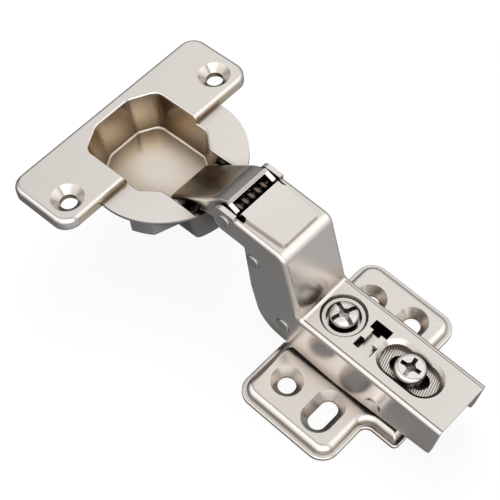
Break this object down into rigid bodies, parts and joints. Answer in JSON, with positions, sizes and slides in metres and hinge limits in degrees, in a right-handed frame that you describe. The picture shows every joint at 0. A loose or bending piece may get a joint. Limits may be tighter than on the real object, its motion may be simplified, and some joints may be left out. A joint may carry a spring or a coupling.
{
  "type": "concealed cup hinge",
  "caption": "Concealed cabinet door hinge: a cup on two links, a cranked adjustable arm and a screw-on mounting plate.",
  "frame": {"origin": "middle of the mounting plate's four fixing holes, in the plane of the plate's underside", "axes": "+X along the arm into the cabinet, away from the cup; +Y across the arm, parallel to the hinge pins; +Z out of the cabinet side"},
  "size_m": [0.1193, 0.0658, 0.0439],
  "materials": {
    "arm_steel": "nickel plated, satin",
    "plate_steel": "nickel plated, satin",
    "cup_metal": "nickel plated, satin",
    "link_steel": "nickel plated, bright",
    "rivet_steel": "bare, turned",
    "screw_steel": "nickel plated, turned",
    "spring_steel": "dark tempered wire",
    "bearing_plastic": "matte",
    "damper_plastic": "matte"
  },
  "bodies": {
    "base": {"mounting_plate": "plate_steel", "plate_rail": "plate_steel", "rail_rivets": "rivet_steel", "rail_nut": "rivet_steel"},
    "guide": {"guide_pins": "rivet_steel"},
    "arm": {"arm": "arm_steel", "adjusting_nut": "rivet_steel", "outer_link_rivet": "rivet_steel", "inner_link_rivet": "rivet_steel", "damper_rivet": "rivet_steel", "outer_link_washers": "bearing_plastic", "inner_link_spacers": "rivet_steel", "damper_barrel": "damper_plastic", "damper_cap": "damper_plastic"},
    "front_screw": {"front_adjusting_screw": "screw_steel"},
    "rear_screw": {"rear_fixing_screw": "screw_steel"},
    "outer_link": {"outer_link": "link_steel", "torsion_spring": "spring_steel"},
    "inner_link": {"inner_link": "link_steel"},
    "cup": {"cup": "cup_metal", "cup_outer_pins": "rivet_steel", "cup_inner_pin": "rivet_steel"},
    "damper_rod": {"damper_rod": "rivet_steel"}
  },
  "joints": [
    {"name": "depth_slide", "type": "slide", "parent": "base", "child": "guide", "axis": [1, 0, 0], "range_m": [-0.003, 0.003]},
    {"name": "side_tilt", "type": "hinge", "parent": "guide", "child": "arm", "pos_m": [0.0152, 0, 0.0084], "axis": [0, 1, 0], "range_deg": [-1.8, 1.8]},
    {"name": "front_screw_turn", "type": "hinge", "parent": "guide", "child": "front_screw", "pos_m": [-0.0025, 0, 0.019], "axis": [0, 0, 1], "range_deg": [-252, 252]},
    {"name": "rear_screw_turn", "type": "hinge", "parent": "base", "child": "rear_screw", "pos_m": [0.0183, 0, 0.019], "axis": [0, 0, 1], "continuous": true},
    {"name": "outer_fold", "type": "hinge", "parent": "arm", "child": "outer_link", "pos_m": [-0.0339, 0, 0.0384], "axis": [0, -1, 0], "range_deg": [0, 44]},
    {"name": "inner_fold", "type": "hinge", "parent": "arm", "child": "inner_link", "pos_m": [-0.0245, 0, 0.0305], "axis": [0, -1, 0], "range_deg": [0, 47.7]},
    {"name": "cup_fold", "type": "hinge", "parent": "outer_link", "child": "cup", "pos_m": [-0.05134, 0, 0.02478], "axis": [0, 1, 0], "range_deg": [0, 140.4]},
    {"name": "damper_stroke", "type": "slide", "parent": "arm", "child": "damper_rod", "axis": [-0.695, 0, 0.719], "range_m": [-0.00456, 0]}
  ],
  "couplings": [
    {"joint": "front_screw_turn", "follows": "side_tilt", "ratio": 138.9},
    {"joint": "inner_fold", "follows": "outer_fold", "ratio": 1.0818},
    {"joint": "cup_fold", "follows": "outer_fold", "ratio": 3.1886},
    {"joint": "damper_stroke", "follows": "outer_fold", "m_per_rad": -0.005924}
  ]
}
